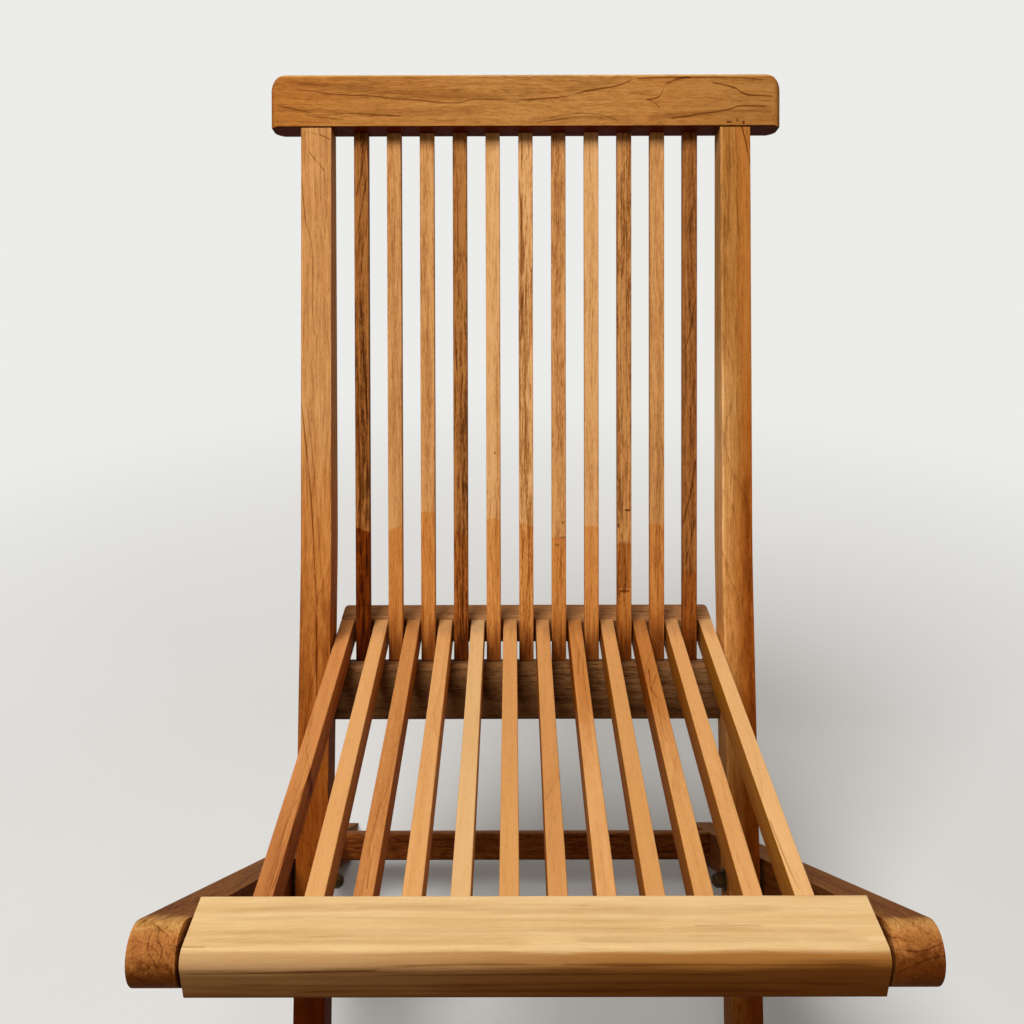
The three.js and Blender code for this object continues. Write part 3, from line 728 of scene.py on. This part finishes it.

# The crest rail has a painted highlight on its top and painted shade on its underside
CREST_FACE_LIGHT_AND_SHADE = [Face("Z", 0.08, 0.5, PAINTED_HIGHLIGHT, 0.9), Face("Z", -0.35, -0.8, UNDERSIDE_SHADE)]
# Painted light falloff: the crest darkens towards both ends and is a little paler in the middle
CREST_PAINTED_FALLOFF = [
    Patch("X", -0.14, -0.22, DEEPER_TONE_AND_SHADE, 0.6), Patch("X", 0.12, 0.2, GREYING_AND_SHADE, 0.4),
    Patch("X", -0.1, -0.02, PAINTED_HIGHLIGHT, 0.12, limits=[("X", 0.14, 0.06)]),
]
CREST_MARKS = [
    (0.1885, 0.6975, 0.003, 0.0012, 0.9), (0.196, 0.6995, 0.0012, 0.0022, 0.9),
    (0.202, 0.697, 0.0014, 0.002, 0.9),
]
CREST_STROKES = [
    ([(-218, 729.7), (-202, 727.2), (-170, 723.3), (-140, 721.8), (-125, 720), (-91, 717.4),
      (-72, 715.6), (-61, 716), (-50, 718.6), (-34, 719), (0, 718.3), (12, 718.3)], 1.0, 0.79),
    ([(-229, 713.5), (-214, 710), (-200, 706.9), (-188, 704.7), (-162, 705.9), (-142, 704.9),
      (-103, 702.6)], 1.1, 0.79),
    ([(-206, 706), (-188, 702.5), (-168, 701)], 1.8, 0.5),
    ([(-1.5, 718), (20, 719.8), (31, 720.5), (43, 722.8), (64, 727.7), (80, 730), (88, 732),
      (95, 735), (101, 738)], 1.3, 0.88),
    ([(110, 718.2), (118, 719), (124, 721.3), (127, 726.5), (130, 732.3), (136, 735),
      (144, 737.8), (154, 738.4)], 1.2, 0.88),
    ([(171, 737), (175, 733.4), (183, 731.8), (192, 729.5), (200, 724.9), (206, 722.4),
      (219, 721.6), (231, 720.7)], 1.1, 0.88),
    ([(112, 718.4), (119, 715.7), (124.5, 709.5)], 1.1, 0.79),
    ([(21, 701), (36, 704.4), (52, 705.8), (67, 704.4), (77, 702), (88, 698)], 0.9, 0.7),
    ([(8, 697), (31, 700), (56, 702.5), (75, 698.4)], 0.9, 0.62),
    ([(132, 701), (146, 702.2), (162, 705.1), (178, 707), (192, 710), (198, 712.2),
      (211, 712.2), (226, 711.5)], 1.1, 0.84),
    ([(192, 706), (204, 707.6), (222, 706)], 0.7, 0.5),
    ([(-150, 731), (-110, 729), (-40, 733), (20, 731)], 1.0, 0.3),
    ([(100, 737.6), (150, 738.6), (200, 737.8), (224, 734)], 0.9, 0.79),
    ([(-222, 734), (-140, 727), (-60, 722), (10, 722)], 4.5, 0.3),
    ([(-235, 716), (-190, 708.5), (-120, 707), (-40, 708)], 4.0, 0.28),
    ([(-10, 722), (40, 728), (90, 738)], 4.5, 0.3),
    ([(0, 697), (52, 702), (100, 697)], 4.0, 0.3),
    ([(110, 700), (170, 706), (232, 708)], 4.0, 0.3),
    ([(-190, 738), (-60, 740), (60, 738)], 3.0, 0.25),
]

# The front rail's nose and its face below darken along a line that falls to the right: partly
# browner wood, partly painted shade
NOSE_SLANT = -0.0104
RAIL_PATCHES = [
    Patch("Z", 0.0141, 0.0128, MUTED_AND_SHADE),
    Patch("Z", 0.0141, 0.0124, BROWN_AND_SHADE, limits=[("X", -0.24, 0.1)]),
    Patch("Z", 0.0105, 0.0015, DEEP_SHADE, 0.74, NOSE_SLANT),
    Patch("Z", 0.0, -0.018, SHADED, 0.8, NOSE_SLANT),
]
RAIL_STROKES = [
    ([(-212, -9.2), (-205, -9.4), (-196, -9.4)], 0.5, 0.9),
    ([(-205, 17), (-90, 22), (30, 19), (160, 21)], 4.0, 0.2),
    ([(-205, 11), (-120, 13.5), (-20, 12), (90, 12)], 2.6, 0.12),
    ([(-200, 3.4), (-100, 1.6), (40, 3.4), (200, 0.8)], 3.6, 0.16),
    ([(20, -3.4), (110, -4.6), (204, -3.6)], 3.4, 0.2),
    ([(-206, -4), (-110, -5.6), (0, -7)], 2.6, 0.16),
    ([(96, 6.4), (118, 7), (140, 6.2)], 0.7, 0.35),
    ([(-209, 2.6), (-160, 3.4), (-90, 5.4)], 0.8, 0.7, "X", "Z"),
    ([(-90, 7.6), (0, 8.6), (90, 8.4), (205, 7.8)], 0.9, 0.5, "X", "Z"),
    ([(-100, 0.6), (10, 2), (130, 0.8)], 0.9, 0.6, "X", "Z"),
    ([(-190, -5), (-60, -6.6), (60, -4.8), (200, -7)], 1.6, 0.4, "X", "Z"),
    ([(-150, -12.4), (0, -11), (170, -13)], 1.8, 0.4, "X", "Z"),
]


def back_slats():
    for number, (tone, lines, contrast, foot, tilt) in enumerate(BACK_SLATS, 1):
        node = f"back_slat_{number:02d}"
        level = centre_of(node, "back_frame")["X"] * tilt + foot
        tints = [DEEPER_TONE_AND_SHADE, RUSSET] if number == DARKEST_FOOT else [DEEPER_TONE_AND_SHADE]
        feet = [Patch("Z", level + FOOT_EDGE, level - FOOT_EDGE, tint, tilt=tilt) for tint in tints]
        wooden(node, "back_frame", ALONG_Z, tone, FINE_EDGE, seed=BACK_SLAT_SEED + number,
               lines=lines, contrast=contrast, ring_width=0.0048, length=2.2,
               patches=feet + SLAT_ROOT_SHADE, marks=SLAT_MARKS.get(number, ()),
               strokes=SLAT_STROKES.get(number, ()))


def seat_slats():
    for number, (tone, lines, contrast) in enumerate(SEAT_SLATS, 1):
        faces = SEAT_LEFT_SIDE_SHADE if number < FIRST_RIGHT_SLAT else SEAT_RIGHT_SIDE_SHADE
        wooden(f"seat_slat_{number:02d}", "seat", ALONG_Y, tone, FINE_EDGE,
               seed=SEAT_SLAT_SEED + number, lines=lines, contrast=contrast, pores=0.12,
               ring_width=0.0058, fine=0.55, faces=faces, strokes=SEAT_STROKES.get(number, ()),
               patches=SEAT_PATCHES + SEAT_SLAT_PATCHES.get(number, []))


def posts_and_legs():
    for side in ("left", "right"):
        wooden(f"post_{side}", "back_frame", ALONG_Z, POST_TONES[side], POST_EDGE,
               seed=POST_SEEDS[side], lines=0.35, contrast=0.7, fine=0.85, length=2.5,
               faces=POST_FACE_HIGHLIGHT[side], patches=POST_PATCHES[side], strokes=POST_STROKES[side])
        # Each leg has a painted soft highlight on its faces turned along Y
        wooden(f"rear_leg_{side}", "rear_leg_frame", ALONG_Z, "ochre", LEG_EDGE,
               seed=LEG_SEEDS[side], lines=0.4, contrast=0.7, wave=0.6, ring_width=0.009,
               heart=(0.012, 0.01), slant=0.02, faces=[Face("Y", 0.55, 0.98, SOFT_HIGHLIGHT)],
               patches=LEG_PATCHES[side], strokes=LEG_STROKES[side])


def rails():
    wooden("crest_rail", "back_frame", ALONG_X, "amber", FINE_EDGE, seed=81, lines=0.15,
           contrast=0.58, pores=0.2, wave=1.5, ring_width=0.009, heart=(0.09, 0.03), slant=0.09,
           faces=CREST_FACE_LIGHT_AND_SHADE, patches=CREST_PAINTED_FALLOFF, marks=CREST_MARKS, strokes=CREST_STROKES)
    # Painted shade: the lower back rail darkens downward
    wooden("lower_back_rail", "back_frame", ALONG_X, "smoky", RAIL_EDGE, seed=82, lines=0.3,
           patches=[Patch("Z", 0.188, 0.15, DIM_SHADE, 0.8)])
    # The stretcher's dark umber tone is partly painted shade, and its top has a painted highlight
    wooden("rear_stretcher", "rear_leg_frame", ALONG_X, "shaded_umber", RAIL_EDGE, seed=83,
           faces=[Face("Y", 0.2, 0.65, PAINTED_HIGHLIGHT, 0.6)])
    wooden("seat_rear_rail", "seat", ALONG_X_FLAT, "grey", RAIL_EDGE, seed=84)
    # The front rail's right end has a painted highlight
    wooden("seat_front_rail", "seat", ALONG_X_FLAT, "straw", RAIL_EDGE, seed=85, lines=0.1,
           contrast=0.55, pores=0.06, wave=0.5, fine=0.35, length=2.5,
           faces=[Face("X", 0.25, 0.6, PAINTED_HIGHLIGHT, 0.5)], patches=RAIL_PATCHES,
           strokes=RAIL_STROKES)


def metal_pieces():
    """The metal keeps its solids and only takes a material of its own."""
    for seed, node in enumerate(sorted(n for n, s in slot_of.items() if s == "brass")):
        piece = frame["nodes"][node]
        piece.data.materials.clear()
        piece.data.materials.append(brass(node, seed))


# Floor, backdrop and lamps

BACKDROP = linear((236, 236, 234))
BOUNCE = (0.14, 0.1, 0.06, 1)
AMBIENT = (1, 0.88, 0.72, 1)
AMBIENT_STRENGTH = 0.12
FLOOR_HALF = 40
FLOOR_PALE = linear((226, 225, 222)), linear((232, 231, 229))
FLOOR_MOTTLE = Noise(3, 3, 3.0)
FLOOR_ROUGHNESS = 0.8
FLOOR_FADE = (0.5, 1.9)

# Name, place, target, width and power
LAMPS = [
    ("key", (-1.05, -1.2, 3.94), (0, -0.05, 0.45), 1.95, 145),
    ("fill", (1.5, -1.6, 1.9), (0, 0, 0.5), 1.6, 2.5),
    ("back", (0.5, 1.9, 1.9), (0, 0, 0.5), 1.6, 10),
]


def make_floor():
    """A pale floor that fades into the backdrop and gives the chair only a warm, faint bounce."""
    tree = Tree("floor")
    source = tree.add("ShaderNodeTexCoord").outputs["Object"]
    away = tree.ramp(tree.vector("LENGTH", source), *FLOOR_FADE)
    mottle = tree.noise(source, FLOOR_MOTTLE)["Fac"]
    pale = tree.mix(mottle, *FLOOR_PALE)
    rays = tree.add("ShaderNodeLightPath").outputs
    seen = tree.math("MAXIMUM", rays["Is Camera Ray"], rays["Is Glossy Ray"])
    shader = tree.add("ShaderNodeBsdfPrincipled", {"Base Color": tree.mix(seen, BOUNCE, pale)})
    shader.inputs["Roughness"].default_value = FLOOR_ROUGHNESS
    glow = tree.add("ShaderNodeEmission", {"Color": BACKDROP})
    tree.show(tree.add("ShaderNodeMixShader", {
        0: tree.times(away, seen), 1: shader.outputs[0], 2: glow.outputs[0],
    }))
    corners = [(x * FLOOR_HALF, y * FLOOR_HALF, 0) for x, y in ((-1, -1), (1, -1), (1, 1), (-1, 1))]
    mesh = bpy.data.meshes.new("floor")
    mesh.from_pydata(corners, [], [(0, 1, 2, 3)])
    mesh.materials.append(tree.material)
    floor = bpy.data.objects.new("floor", mesh)
    bpy.context.scene.collection.objects.link(floor)


def make_world():
    world = bpy.data.worlds.new("studio")
    world.use_nodes = True
    nodes, links = world.node_tree.nodes, world.node_tree.links
    nodes.clear()
    rays = nodes.new("ShaderNodeLightPath").outputs
    soft = nodes.new("ShaderNodeBackground")
    soft.inputs["Color"].default_value = AMBIENT
    soft.inputs["Strength"].default_value = AMBIENT_STRENGTH
    shown = nodes.new("ShaderNodeBackground")
    shown.inputs["Color"].default_value = BACKDROP
    either = nodes.new("ShaderNodeMath")
    either.operation = "MAXIMUM"
    links.new(rays["Is Camera Ray"], either.inputs[0])
    links.new(rays["Is Glossy Ray"], either.inputs[1])
    mixed = nodes.new("ShaderNodeMixShader")
    links.new(either.outputs[0], mixed.inputs[0])
    links.new(soft.outputs[0], mixed.inputs[1])
    links.new(shown.outputs[0], mixed.inputs[2])
    out = nodes.new("ShaderNodeOutputWorld")
    links.new(mixed.outputs[0], out.inputs[0])
    bpy.context.scene.world = world


def add_lamp(name, place, target, width, power):
    data = bpy.data.lights.new(name, "AREA")
    data.shape = "DISK"
    data.size = width
    data.energy = power
    lamp = bpy.data.objects.new(name, data)
    lamp.location = place
    lamp.rotation_euler = (Vector(target) - Vector(place)).to_track_quat("-Z", "Y").to_euler()
    bpy.context.scene.collection.objects.link(lamp)


make_camera()
back_slats()
seat_slats()
posts_and_legs()
rails()
metal_pieces()
make_floor()
make_world()
for entry in LAMPS:
    add_lamp(*entry)
bpy.context.scene.view_settings.view_transform = "Standard"
